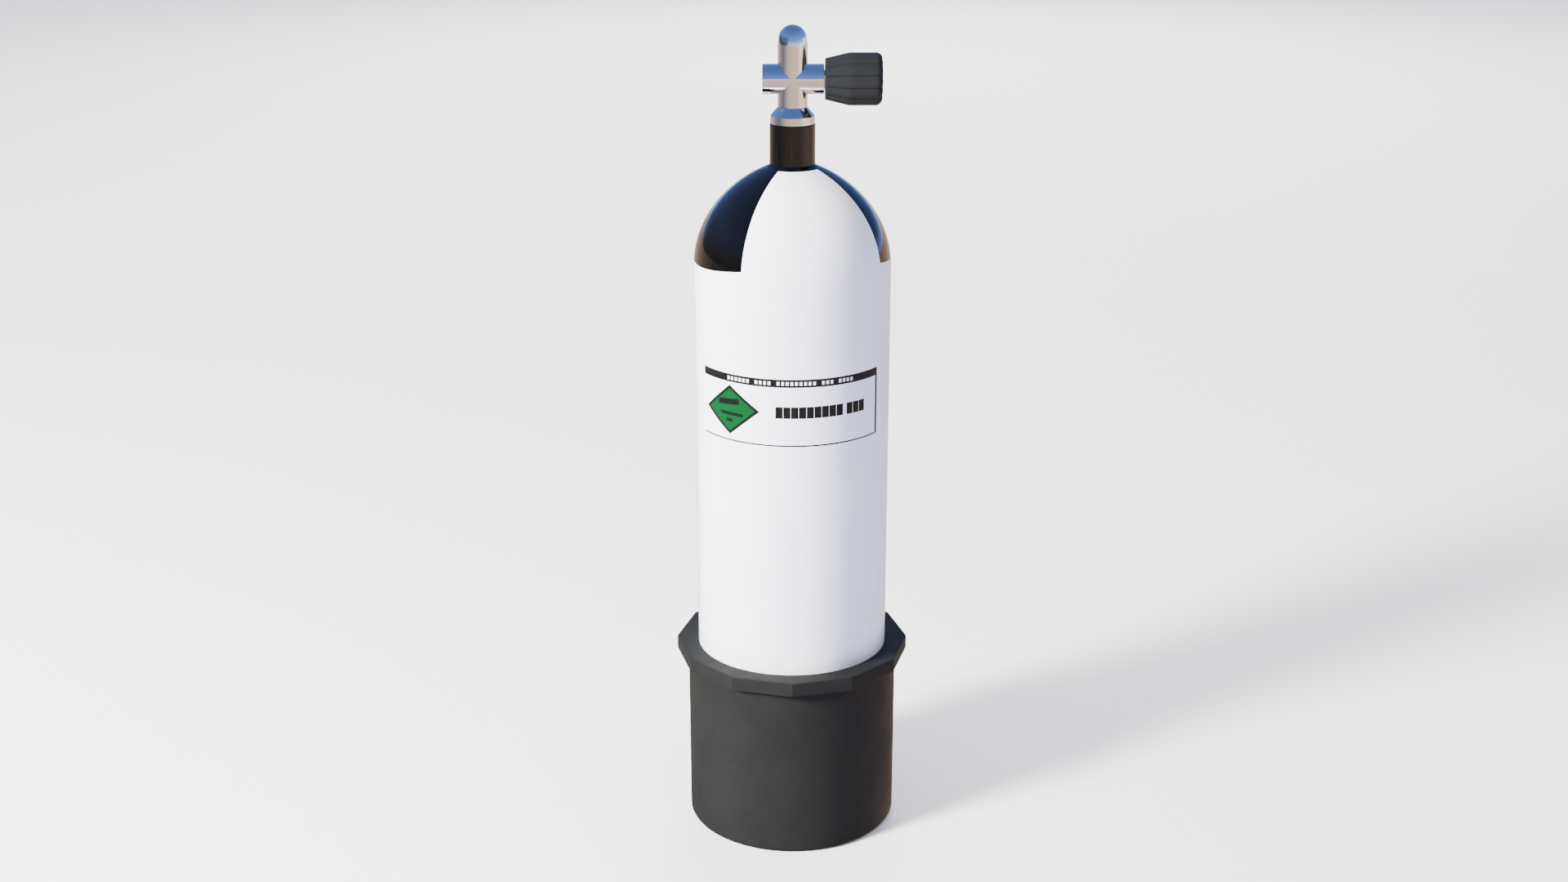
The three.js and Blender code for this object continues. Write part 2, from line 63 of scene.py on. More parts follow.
# Places taken from the frame, in mm
SPINDLE_Z = frame["joints"][0]["pos_m"][2] / MM
KNOB_BACK_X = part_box("handwheel_grip")[0].x / MM
KNOB_END_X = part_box("handwheel_grip")[1].x / MM
VALVE_TOP_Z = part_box("valve_body")[1].z / MM
BODY_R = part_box("cylinder_shell")[1].x / MM
BODY_BASE_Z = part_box("cylinder_shell")[0].z / MM
NECK_TOP_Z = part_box("cylinder_shell")[1].z / MM
OUTLET_END_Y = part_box("valve_body")[1].y / MM
STUB_LEFT_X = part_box("valve_body")[0].x / MM
STUB_RIGHT_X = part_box("valve_body")[1].x / MM
RIM_TOP_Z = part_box("boot")[1].z / MM

# Paint scheme and label, azimuths in degrees from the front towards +X
WHITE_QUARTER = (-30.4, 61)
QUARTER_BOTTOM_Z = 529  # at the middle of a black quarter
QUARTER_CORNER_RISE = 5.3  # how much higher its corners are
NECK_BLACK_Z = 608.6
LABEL_AZIMUTH = (-61.4, 57.7)
LABEL_Z = (385.2, 444.5)
LABEL_BAR_Z = 437.6


# ---- Meshes ----------------------------------------------------------------

TO_AXIS = {
    "z": Matrix.Identity(4),
    "x": Matrix.Rotation(math.pi / 2, 4, "Y"),
    "y": Matrix.Rotation(-math.pi / 2, 4, "X"),
}


def mesh_object(name, points, faces, sharp=SHARP):
    """A smooth mesh object from points in mm, with its sharp edges marked."""
    mesh = bpy.data.meshes.new(name)
    mesh.from_pydata([Vector(p) * MM for p in points], [], faces)
    mesh.validate()
    mesh.shade_smooth()
    mesh.set_sharp_from_angle(angle=sharp)
    made = bpy.data.objects.new(name, mesh)
    bpy.context.scene.collection.objects.link(made)
    return made


def revolve(name, outline, segments=MEDIUM, axis="z", at=(0, 0, 0), shape=None, sharp=SHARP):
    """A solid turned round an axis from [radius, height] points listed upwards on the outside.

    The outline starts and ends on the axis, or closes on itself. shape(radius, height, angle)
    may move each point; the angle is 0 at the front and grows towards +X.
    """
    points, rings = [], []
    for radius, height in outline:
        if radius < 1e-6:
            rings.append([len(points)] * segments)
            points.append((0, 0, height))
            continue
        rings.append(list(range(len(points), len(points) + segments)))
        for i in range(segments):
            angle = FULL_TURN * i / segments
            r, h = shape(radius, height, angle) if shape else (radius, height)
            points.append((r * math.sin(angle), -r * math.cos(angle), h))
    faces = []
    closed = outline[0][0] > 1e-6
    pairs = list(zip(rings, rings[1:]))
    if closed:
        pairs.append((rings[-1], rings[0]))
    for low, high in pairs:
        for i in range(segments):
            j = (i + 1) % segments
            corners = [low[i], low[j], high[j], high[i]]
            face = list(dict.fromkeys(corners))
            if len(face) > 2:
                faces.append(face)
    place = Matrix.Translation(at) @ TO_AXIS[axis]
    return mesh_object(name, [place @ Vector(p) for p in points], faces, sharp)


def cylinder(name, radius, low, high, **options):
    """A plain round bar, used as a cutter."""
    return revolve(name, [(0, low), (radius, low), (radius, high), (0, high)], **options)


def combine(base, tool, operation):
    """Adds a tool to a base mesh, or cuts it away, and removes the tool."""
    step = base.modifiers.new("step", "BOOLEAN")
    step.object = tool
    step.operation = operation
    step.solver = "EXACT"
    graph = bpy.context.evaluated_depsgraph_get()
    made = bpy.data.meshes.new_from_object(base.evaluated_get(graph))
    base.modifiers.clear()
    base.data = made
    bpy.data.objects.remove(tool)
    made.shade_smooth()
    made.set_sharp_from_angle(angle=SHARP)
    return base


def add(base, tool):
    """Joins a tool to a base mesh."""
    return combine(base, tool, "UNION")


def cut(base, tool):
    """Cuts a tool out of a base mesh."""
    return combine(base, tool, "DIFFERENCE")


def arc(centre, radius, start, end, steps=6, rise=None):
    """Points on an arc in the outline's plane, angles in degrees from the radius axis.

    It is part of a circle, or of an ellipse where a rise along the axis is given.
    """
    rise = rise or radius
    points = []
    for i in range(steps + 1):
        angle = math.radians(start + (end - start) * i / steps)
        points.append((centre[0] + radius * math.cos(angle), centre[1] + rise * math.sin(angle)))
    return points


def curve(start, control, end, steps):
    """Points on a quadratic curve, without the first."""
    points = []
    for i in range(1, steps + 1):
        t = i / steps
        points.append(
            tuple((1 - t) ** 2 * a + 2 * t * (1 - t) * b + t * t * c
                  for a, b, c in zip(start, control, end))
        )
    return points


def patch(name, azimuths, heights, radii, columns=96, rise=0.0):
    """A thin solid patch on the cylinder between two azimuths, in degrees, and two heights.

    The right end is higher than the left one by the rise.
    """
    low, high = heights
    inner, outer = radii
    rows = []
    for i in range(columns + 1):
        azimuth = azimuths[0] + (azimuths[1] - azimuths[0]) * i / columns
        lift = rise * (i / columns - 0.5)
        rows.append([(azimuth, low + lift, inner), (azimuth, low + lift, outer),
                     (azimuth, high + lift, outer), (azimuth, high + lift, inner)])
    return loft(name, rows)


def on_cylinder(azimuth, height, radius):
    """A point by its azimuth in degrees, its height and its distance from the axis."""
    angle = math.radians(azimuth)
    return (radius * math.sin(angle), -radius * math.cos(angle), height)


def loft(name, rows):
    """A solid through rows of (azimuth, height, radius) points, closed at both ends."""
    points = [on_cylinder(*p) for row in rows for p in row]
    size = len(rows[0])
    faces = [list(range(size))[::-1]]
    for i in range(len(rows) - 1):
        for j in range(size):
            k = (j + 1) % size
            faces.append([i * size + j, i * size + k, (i + 1) * size + k, (i + 1) * size + j])
    faces.append([(len(rows) - 1) * size + j for j in range(size)])
    return mesh_object(name, points, faces)


def join(name, objects):
    """Several mesh objects as one."""
    bpy.ops.object.select_all(action="DESELECT")
    for o in objects:
        o.select_set(True)
    bpy.context.view_layer.objects.active = objects[0]
    bpy.ops.object.join()
    objects[0].name = name
    return objects[0]


# ---- Materials -------------------------------------------------------------


class Look:
    """A node material under construction, in the frame's own coordinates, in metres."""

    def __init__(self, name):
        self.material = bpy.data.materials.new(name)
        self.material.use_nodes = True
        self.tree = self.material.node_tree
        self.shader = self.tree.nodes["Principled BSDF"]
        self.place = self.tree.nodes.new("ShaderNodeTexCoord").outputs["Object"]

    def link(self, source, target):
        self.tree.links.new(source, target)

    def math(self, operation, a, b=0.0, c=0.0):
        node = self.tree.nodes.new("ShaderNodeMath")
        node.operation = operation
        for socket, value in zip(node.inputs, (a, b, c)):
            if isinstance(value, (int, float)):
                socket.default_value = value
            else:
                self.link(value, socket)
        return node.outputs[0]

    def axes(self):
        node = self.tree.nodes.new("ShaderNodeSeparateXYZ")
        self.link(self.place, node.inputs[0])
        return node.outputs

    def stretched(self, scale):
        node = self.tree.nodes.new("ShaderNodeMapping")
        node.inputs["Scale"].default_value = scale
        self.link(self.place, node.inputs["Vector"])
        return node.outputs[0]

    def noise(self, scale, detail=3.0, where=None):
        node = self.tree.nodes.new("ShaderNodeTexNoise")
        node.inputs["Scale"].default_value = scale
        node.inputs["Detail"].default_value = detail
        self.link(where or self.place, node.inputs["Vector"])
        return node.outputs["Fac"]

    def cells(self, scale):
        node = self.tree.nodes.new("ShaderNodeTexVoronoi")
        node.inputs["Scale"].default_value = scale
        self.link(self.place, node.inputs["Vector"])
        return node.outputs["Distance"]

    def remap(self, value, from_low, from_high, to_low, to_high):
        node = self.tree.nodes.new("ShaderNodeMapRange")
        node.interpolation_type = "SMOOTHSTEP"
        for socket, number in zip(node.inputs[1:5], (from_low, from_high, to_low, to_high)):
            socket.default_value = number
        self.link(value, node.inputs[0])
        return node.outputs[0]

    def mix(self, share, low, high):
        node = self.tree.nodes.new("ShaderNodeMix")
        node.data_type = "RGBA"
        self.link(share, node.inputs["Factor"])
        for socket, colour in ((node.inputs["A"], low), (node.inputs["B"], high)):
            if isinstance(colour, tuple):
                socket.default_value = (*colour, 1)
            else:
                self.link(colour, socket)
        return node.outputs["Result"]

    def bump(self, height, strength, distance, below=None):
        node = self.tree.nodes.new("ShaderNodeBump")
        node.inputs["Strength"].default_value = strength
        node.inputs["Distance"].default_value = distance
        self.link(height, node.inputs["Height"])
        if below:
            self.link(below, node.inputs["Normal"])
        return node.outputs[0]

    def set(self, **sockets):
        for name, value in sockets.items():
            socket = self.shader.inputs[name.replace("_", " ")]
            if isinstance(value, tuple):
                socket.default_value = (*value, 1)
            elif isinstance(value, (int, float)):
                socket.default_value = value
            else:
                self.link(value, socket)
        return self.material

    def scratches(self, length=(1, 1, 1), width=900, share=0.64):
        """1 on sparse thin scratches, 0 elsewhere."""
        lines = self.noise(width, 2.0, self.stretched(length))
        return self.remap(lines, share, share + 0.04, 0.0, 1.0)


def gloss_paint():
    """White enamel with a black neck and two black quarters on the shoulder."""
    look = Look("gloss_paint")
    x, y, z = look.axes()
    middle = math.radians(sum(WHITE_QUARTER) / 2)
    half = math.radians((WHITE_QUARTER[1] - WHITE_QUARTER[0]) / 2)
    azimuth = look.math("ARCTAN2", x, look.math("MULTIPLY", y, -1))
    doubled = look.math("MULTIPLY", look.math("SUBTRACT", azimuth, middle), 2)
    swing = look.math("COSINE", doubled)  # -1 at the middle of a black quarter
    quarter = look.math("LESS_THAN", swing, math.cos(2 * half))
    bottom = look.math("MULTIPLY_ADD", look.math("ADD", swing, 1), QUARTER_CORNER_RISE * MM,
                       QUARTER_BOTTOM_Z * MM)
    above = look.math("GREATER_THAN", z, bottom)
    neck = look.math("GREATER_THAN", z, NECK_BLACK_Z * MM)
    black = look.math("MAXIMUM", look.math("MULTIPLY", quarter, above), neck)

    cloud = look.noise(14, 4.0)
    scuffs = look.math("MULTIPLY", look.scratches((1, 1, 0.05), 700), look.noise(30, 3.0))
    white = look.mix(look.remap(cloud, 0.3, 0.7, 0.0, 1.0), (0.86, 0.87, 0.88), (0.80, 0.81, 0.83))
    white = look.mix(look.math("MULTIPLY", scuffs, 0.25), white, (0.45, 0.45, 0.44))
    dark = look.mix(scuffs, (0.0014, 0.0012, 0.0011), (0.006, 0.006, 0.006))
    peel = look.bump(look.noise(420, 2.0), 0.035, 0.0006)
    return look.set(
        Base_Color=look.mix(black, white, dark),
        Roughness=look.math("ADD", look.remap(cloud, 0.3, 0.7, 0.05, 0.08),
                            look.math("MULTIPLY", scuffs, 0.25)),
        Specular_IOR_Level=0.36,
        Normal=look.bump(scuffs, 0.06, 0.0001, peel),
    )


def vinyl(name, low, high, roughness=0.3):
    """Printed vinyl with a faint mottle."""
    look = Look(name)
    mottle = look.noise(240, 4.0)
    fine = look.noise(1500, 2.0)
    return look.set(
        Base_Color=look.mix(mottle, low, high),
        Roughness=look.remap(mottle, 0.3, 0.7, roughness - 0.06, roughness + 0.06),
        Specular_IOR_Level=0.15,
        Normal=look.bump(fine, 0.08, 0.0001),
    )


def boot_rubber():
    """Moulded dark grey rubber, dusty on its ledges and scuffed at the rim and foot."""
    look = Look("boot_rubber")
    _, _, z = look.axes()
    cloud = look.noise(22, 5.0)
    grain = look.noise(1300, 3.0)
    pits = look.cells(900)
    near_foot = look.remap(z, 0.0, 0.022, 1.0, 0.0)
    near_rim = look.remap(z, 0.158, 0.174, 0.0, 1.0)
    patches = look.remap(look.noise(90, 5.0), 0.5, 0.72, 0.0, 1.0)
    scuffs = look.math("MULTIPLY", look.math("MAXIMUM", near_foot, near_rim), patches)
    scratch = look.math("MULTIPLY", look.scratches((0.08, 0.08, 1), 500, 0.66), patches)
    worn = look.math("MULTIPLY", look.math("MAXIMUM", scuffs, scratch), 0.2)
    rubber = look.mix(look.remap(cloud, 0.3, 0.7, 0.0, 1.0), (0.0106, 0.0110, 0.0101),
                      (0.0124, 0.0128, 0.0116))
    skin = look.bump(pits, 0.16, 0.0003)
    return look.set(
        Base_Color=look.mix(worn, rubber, (0.018, 0.019, 0.018)),
        Roughness=look.math("ADD", look.remap(cloud, 0.3, 0.7, 0.52, 0.64),
                            look.math("MULTIPLY", worn, 0.2)),
        Specular_IOR_Level=0.1,
        Normal=look.bump(grain, 0.25, 0.0003, skin),
    )


def chrome(name="chrome", shade=(0.80, 0.81, 0.83)):
    """Bright plate with faint smears and hairlines."""
    look = Look(name)
    smear = look.noise(60, 4.0)
    hairs = look.math("MULTIPLY", look.scratches((1, 1, 0.06), 2600, 0.66), look.noise(150, 3.0))
    dull = tuple(0.93 * c for c in shade)
    return look.set(
        Base_Color=look.mix(look.remap(smear, 0.35, 0.75, 0.0, 1.0), shade, dull),
        Metallic=1.0,
        Roughness=look.math("ADD", look.remap(smear, 0.35, 0.75, 0.025, 0.06),
                            look.math("MULTIPLY", hairs, 0.25)),
        Normal=look.bump(hairs, 0.05, 0.00005),
    )


def machined(name, low, high, roughness):
    """Turned metal: fine rings round the spindle's axis."""
    look = Look(name)
    rings = look.noise(1.0, 3.0, look.stretched((5200, 260, 260)))
    tarnish = look.noise(320, 4.0)
    return look.set(
        Base_Color=look.mix(tarnish, low, high),
        Metallic=1.0,
        Roughness=look.remap(tarnish, 0.3, 0.7, roughness - 0.06, roughness + 0.1),
        Normal=look.bump(rings, 0.12, 0.00008),
    )


def soft_rubber(name, low, high, roughness):
    """Fine-grained moulded rubber for the grip and the seals."""
    look = Look(name)
    cloud = look.noise(110, 4.0)
    grain = look.noise(2600, 3.0)
    handled = look.remap(look.noise(260, 5.0), 0.55, 0.78, 0.0, 0.25)
    return look.set(
        Base_Color=look.mix(handled, look.mix(cloud, low, high), tuple(1.4 * c for c in high)),
        Roughness=look.remap(cloud, 0.3, 0.7, roughness - 0.07, roughness + 0.07),
        Specular_IOR_Level=0.2,
        Normal=look.bump(grain, 0.12, 0.0002),
    )


def hard_plastic(name, low, high, roughness=0.4):
    """Moulded plastic with a light texture."""
    look = Look(name)
    flow = look.noise(180, 4.0)
    spark = look.noise(2200, 2.0)
    return look.set(
        Base_Color=look.mix(flow, low, high),
        Roughness=look.remap(flow, 0.3, 0.7, roughness - 0.08, roughness + 0.08),
        Normal=look.bump(spark, 0.12, 0.0001),
    )


PAINT = gloss_paint()
VINYL_WHITE = vinyl("vinyl_white", (0.84, 0.85, 0.86), (0.79, 0.80, 0.82))
INK_BLACK = vinyl("ink_black", (0.0045, 0.004, 0.004), (0.0075, 0.007, 0.0065), 0.45)
INK_GREEN = vinyl("ink_green", (0.0002, 0.042, 0.0085), (0.0004, 0.050, 0.0110), 0.35)
INK_GREY = vinyl("ink_grey", (0.008, 0.008, 0.009), (0.012, 0.012, 0.013))
BOOT_RUBBER = boot_rubber()
CHROME = chrome()
BRASS = machined("machined_brass", (0.62, 0.44, 0.17), (0.70, 0.52, 0.23), 0.28)
STEEL = machined("stainless_steel", (0.55, 0.56, 0.57), (0.63, 0.63, 0.64), 0.24)
SEAL_RUBBER = soft_rubber("seal_rubber", (0.010, 0.010, 0.010), (0.016, 0.016, 0.016), 0.42)
GRIP_RUBBER = soft_rubber("grip_rubber", (0.0096, 0.0102, 0.0101), (0.0120, 0.0126, 0.0124), 0.56)
CORE_PLASTIC = hard_plastic("core_plastic", (0.012, 0.012, 0.013), (0.018, 0.018, 0.020))
SEAT_POLYMER = hard_plastic("seat_polymer", (0.72, 0.70, 0.62), (0.78, 0.76, 0.69))


def finish_piece(piece, body, material, node=None):
    """Gives a piece its material and its body, and hides the CAD node it stands for."""
    piece.data.materials.clear()
    piece.data.materials.append(material)
    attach(piece, body)
    if node:
        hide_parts(node)
    return piece


# ---- Cylinder --------------------------------------------------------------


def shoulder(rise=93.9, foot_z=520.9, flat=2.14, full=1.56, stop_r=22.8, steps=56):
    """The domed shoulder, a little fuller than an ellipse, up to where the neck's fillet starts."""
    stop = (1 - (stop_r / BODY_R) ** full) ** (1 / flat)
    points = []
    for i in range(steps + 1):
        t = stop * math.sin(math.pi / 2 * i / steps)
        points.append((BODY_R * (1 - t**flat) ** (1 / full), foot_z + rise * t))
    return points


def cylinder_body():
    """The hollow steel cylinder: a rounded base, a straight side, the shoulder and the neck."""
    neck_r, neck_foot_z, bore_r, bore_foot_z = 19.5, 612, 12.8, 604
    base_rise, side_step, inner_r = 60, 60, BODY_R - 4.3
    inner_top_z, inner_top_rise = 517.3, 88
    inner_base_z, inner_base_rise = 67, 53
    base = arc((0, BODY_BASE_Z + base_rise), BODY_R, -90, 0, 28, base_rise)
    base[0] = (0, base[0][1])
    side = [(BODY_R, BODY_BASE_Z + base_rise + side_step * i) for i in range(1, 8)]
    top = shoulder()
    fillet = curve(top[-1], (neck_r + 0.3, neck_foot_z - 1.6), (neck_r, neck_foot_z), 8)
    fillet.append((neck_r, neck_foot_z + 0.8))
    edge = [(neck_r, NECK_TOP_Z - 1.3)] + arc((neck_r - 0.5, NECK_TOP_Z - 0.5), 0.5, 0, 90, 3)
    bore = [(bore_r, NECK_TOP_Z), (bore_r, bore_foot_z)]
    inside = arc((0, inner_top_z), inner_r, 78, 0, 16, inner_top_rise)
    floor = arc((0, inner_base_z), inner_r, 0, -90, 16, inner_base_rise)
    floor[-1] = (0, floor[-1][1])
    outline = base + side + top + fillet + edge + bore + inside + floor
    made = revolve("cylinder", outline, FINE)
    return finish_piece(made, "tank", PAINT, "cylinder_shell")


def diamond_loop(centre, half_width, half_height, radius):
    """The corners of a diamond whose right corner sits a little higher than its left one."""
    azimuth, height = centre
    lift = 0.09 * half_height
    return [(azimuth - half_width, height - lift, radius), (azimuth, height - half_height, radius),
            (azimuth + half_width, height + lift, radius), (azimuth, height + half_height, radius)]


def diamond(name, centre, half_width, half_height, radii, inner_share=0.0, steps=24):
    """A diamond wrapped on the cylinder, whole or, with an inner share, only its border.

    Its rings of points run outwards on the outer face and back inwards on the inner face.
    """
    def ring(share, radius):
        loop = []
        corners = diamond_loop(centre, half_width * share, half_height * share, radius)
        for a, b in zip(corners, corners[1:] + corners[:1]):
            for i in range(steps):
                t = i / steps
                loop.append(on_cylinder(a[0] + (b[0] - a[0]) * t, a[1] + (b[1] - a[1]) * t, radius))
        return loop

    inner, outer = radii
    shares = [inner_share, 1.0] if inner_share else [i / 8 for i in range(1, 9)]
    rings = [ring(s, outer) for s in shares] + [ring(s, inner) for s in shares[::-1]]
    points = sum(rings, [])
    size = 4 * steps
    neighbours = [(j, (j + 1) % size) for j in range(size)]
    joined = len(rings) if inner_share else len(rings) - 1
    faces = []
    for i in range(joined):
        here, there = i * size, (i + 1) % len(rings) * size
        faces += [[here + j, there + j, there + k, here + k] for j, k in neighbours]
    if not inner_share:
        last = (len(rings) - 1) * size
        for start, radius, way in ((0, outer, 1), (last, inner, -1)):
            middle = len(points)
            points.append(on_cylinder(*centre, radius))
            faces += [[middle, start + j, start + k][::way] for j, k in neighbours]
    return mesh_object(name, points, faces)


def block_row(name, azimuths, heights, radii, words, word_gap=1.0, gap_share=0.07):
    """A row of plain blocks in groups, where a label has lettering. words counts each group.

    word_gap is the gap between groups, and gap_share the one between blocks, as shares of a block.
    """
    cells = sum(words) + (len(words) - 1) * word_gap
    pitch = (azimuths[1] - azimuths[0]) / cells
    blocks, cell = [], 0
    for count in words:
        for _ in range(count):
            start = azimuths[0] + cell * pitch
            end = start + pitch * (1 - gap_share)
            blocks.append(patch("block", (start, end), heights, radii, columns=6))
            cell += 1
        cell += word_gap
    return join(name, blocks)


def label():
    """The vinyl label: a white sheet with a black bar, a green diamond, blocks and a thin border."""
    sheet_radii = (BODY_R + 0.02, BODY_R + 0.16)
    ink_radii = (BODY_R + 0.10, BODY_R + 0.20)
    over_radii = (BODY_R + 0.14, BODY_R + 0.24)
    line, side_line = 1.2, 2.6
    right = LABEL_AZIMUTH[1]
    line_angle = math.degrees(side_line / BODY_R)
    sheet = patch("label_sheet", LABEL_AZIMUTH, LABEL_Z, sheet_radii)
    finish_piece(sheet, "tank", VINYL_WHITE, "cylinder_label")
    bar = patch("label_bar", LABEL_AZIMUTH, (LABEL_BAR_Z, LABEL_Z[1]), ink_radii)
    finish_piece(bar, "tank", INK_BLACK)
    border = join("label_border", [
        patch("bottom", LABEL_AZIMUTH, (LABEL_Z[0], LABEL_Z[0] + line), ink_radii),
        patch("right", (right - line_angle, right), (LABEL_Z[0] + line, LABEL_BAR_Z), ink_radii, 2),
    ])
    finish_piece(border, "tank", INK_GREY)
    centre, half_width, half_height = (-38.5, 412.9), 19.4, 22.0
    green = diamond("label_diamond", centre, half_width, half_height, ink_radii)
    finish_piece(green, "tank", INK_GREEN)
    edge = diamond("label_diamond_edge", centre, half_width, half_height, over_radii, 0.87)
    finish_piece(edge, "tank", INK_BLACK)
    marks = join("label_diamond_marks", [
        patch("wide", (-47.0, -32.0), (417.3, 422.3), over_radii, 12, 2.3),
        patch("narrow", (-45.5, -29.5), (408.0, 410.6), over_radii, 12),
        patch("short", (-41.2, -36.6), (402.2, 404.8), over_radii, 4),
    ])
    finish_piece(marks, "tank", INK_BLACK)
    words = block_row("label_blocks", (-9.7, 45.8), (410.2, 420.4), ink_radii, (9, 3), 0.5)
    finish_piece(words, "tank", INK_BLACK)
    small = block_row("label_bar_blocks", (-40, 37.5), (439.4, 442.6), over_radii, (6, 4, 9, 3, 4),
                      gap_share=0.4)
    finish_piece(small, "tank", VINYL_WHITE)


# ---- Boot ------------------------------------------------------------------


def boot():
    """The rubber boot: a straight cup with a flat 12-sided rim and drain holes.

    The CAD boot's inner ribs can't be seen under the cylinder, and are left out here.
    """
    wall_r, inner_r, edge = 94.8, 91, 5.0
    rim_r, rim_low_z, corner = 105.3, 160.6, 0.5
    rim_inner_r, lip = BODY_R + 0.35, 0.8
    floor_z, recess, ring_r = 6, 2, 76
    facet = math.pi / 12

    def polygon(angle):
        """1 at a corner of the 12-sided rim, and less between corners."""
        off = (angle % (2 * facet)) - facet
        return math.cos(facet) / math.cos(off)

    def shape(radius, height, angle):
        """Spreads the rim, and only the rim, to its 12 sides."""
        if radius <= wall_r + 0.01 or height < rim_low_z - 0.01:
            return radius, height
        spread = (rim_r * polygon(angle) - wall_r) / (rim_r - wall_r)
        return wall_r + (radius - wall_r) * spread, height

    outline = [(0, recess), (ring_r - recess, recess), (ring_r - 0.6, 1.6), (ring_r, 0.6)]
    outline += [(ring_r + 0.6, 0)]
    outline += arc((wall_r - edge, edge), edge, -90, 0, 10)
    outline += [(wall_r, z) for z in (30, 60, 90, 120, 150)]
    outline += curve((wall_r, 158.6), (wall_r, rim_low_z), (wall_r + 1.2, rim_low_z), 4)
    outline += [(rim_r - corner, rim_low_z)]
    outline += arc((rim_r - corner, rim_low_z + corner), corner, -90, 0, 4)[1:]
    outline += arc((rim_r - corner, RIM_TOP_Z - corner), corner, 0, 90, 4)
    outline += [(100, RIM_TOP_Z), (95.5, RIM_TOP_Z), (90, RIM_TOP_Z)]
    outline += arc((rim_inner_r + lip, RIM_TOP_Z - lip), lip, 90, 180, 4)
    outline += [(rim_inner_r, rim_low_z), (inner_r, rim_low_z - 4), (inner_r, 60), (inner_r, 16)]
    outline += curve((inner_r, 12), (inner_r, floor_z), (inner_r - 6, floor_z), 4)
    outline += [(0, floor_z)]
    made = revolve("rubber_boot", outline, 360, shape=shape)
    drains, drain_ring_r, drain_r, middle_drain_r = 6, 58, 7, 16
    made = cut(made, cylinder("drain", middle_drain_r, -1, floor_z + 2, segments=SMALL))
    for i in range(drains):
        angle = FULL_TURN * (i + 0.25) / drains
        at = (drain_ring_r * math.cos(angle), drain_ring_r * math.sin(angle), 0)
        made = cut(made, cylinder("drain", drain_r, -1, floor_z + 2, segments=48, at=at))
    return finish_piece(made, "tank", BOOT_RUBBER, "boot")


# ---- Valve -----------------------------------------------------------------


def thread(pitch, depth):
    """A V thread as a change of radius, for revolve()."""
    def shape(radius, height, angle):
        share = (height / pitch + angle / FULL_TURN) % 1
        return radius + depth * (1 - abs(2 * share - 1)), height
    return shape


def valve_body():
    """The pillar with its collar, domed top, cross stubs, outlet boss, ports and outlet thread."""
    pillar_r, collar_r, stem_r, stub_r = 12.65, 18.9, 12.4, 12.6
    stem_foot_z, collar_z, cone_z, cone_top_z = 618, 645.9, 652.4, 659.2
    dome_r, dome_foot_z, dome_tilt = 12.05, 712.3, 10
    soft = 0.35  # rounding of the turned edges
    outline = [(0, stem_foot_z), (stem_r - 1, stem_foot_z), (stem_r, stem_foot_z + 1)]
    outline += [(stem_r, collar_z), (collar_r - soft, collar_z)]
    outline += arc((collar_r - soft, collar_z + soft), soft, -90, 0, 3)[1:]
    outline += [(collar_r, cone_z), (collar_r - 0.25, cone_z + 0.4), (pillar_r + 0.5, cone_top_z)]
    outline += curve(outline[-1], (pillar_r, cone_top_z + 0.5), (pillar_r, cone_top_z + 1.2), 3)
    outline += [(pillar_r, dome_foot_z - 0.3), (pillar_r - 0.01, dome_foot_z)]
    outline += arc((0, VALVE_TOP_Z - dome_r), dome_r, dome_tilt, 90, 28)
    outline[-1] = (0, outline[-1][1])
    body = revolve("valve", outline, MEDIUM)

    axis_at = (0, 0, SPINDLE_Z)
    stub = [(0, STUB_LEFT_X), (stub_r - soft, STUB_LEFT_X)]
    stub += arc((stub_r - soft, STUB_LEFT_X + soft), soft, -90, 0, 3)[1:]
    stub += arc((stub_r - soft, STUB_RIGHT_X - soft), soft, 0, 90, 3)
    stub += [(0, STUB_RIGHT_X)]
    body = add(body, revolve("stub", stub, MEDIUM, "x", axis_at))

    outlet_z, outlet_r = 704, 12.66
    outlet_at = (0, 0, outlet_z)
    boss = [(0, 1), (outlet_r, 1)]
    boss += arc((outlet_r - 0.5, OUTLET_END_Y - 0.5), 0.5, 0, 90, 3) + [(0, OUTLET_END_Y)]
    body = add(body, revolve("boss", boss, MEDIUM - 2, "y", outlet_at))

    past, port_r = 1, 10
    for name, low, high in (("left_port", STUB_LEFT_X - past, -13.5), ("right_port", 17, 27)):
        body = cut(body, cylinder(name, port_r, low, high, segments=SMALL, axis="x", at=axis_at))
    bore, pitch, depth, seal_y, thread_y, gas_r = 10.6, 1.814, 0.8, 8.5, 10, 3
    steps, relief = 64, 0.9
    tool = [(0, seal_y), (bore, seal_y)]
    tool += [(bore, thread_y + (OUTLET_END_Y - 1 - thread_y) * i / steps) for i in range(steps + 1)]
    tool += [(bore + relief, OUTLET_END_Y + 0.01), (bore + relief, OUTLET_END_Y + past)]
    tool += [(0, OUTLET_END_Y + past)]
    threaded = thread(pitch, depth)

    def shape(radius, height, angle):
        inside = thread_y < height < OUTLET_END_Y - relief
        return threaded(radius, height, angle) if inside else (radius, height)

    body = cut(body, revolve("socket", tool, SMALL, "y", outlet_at, shape))
    body = cut(body, cylinder("port", gas_r, 0, thread_y, segments=36, axis="y", at=outlet_at))
    body.data.set_sharp_from_angle(angle=VALVE_SHARP)
    return finish_piece(body, "tank", CHROME, "valve_body")


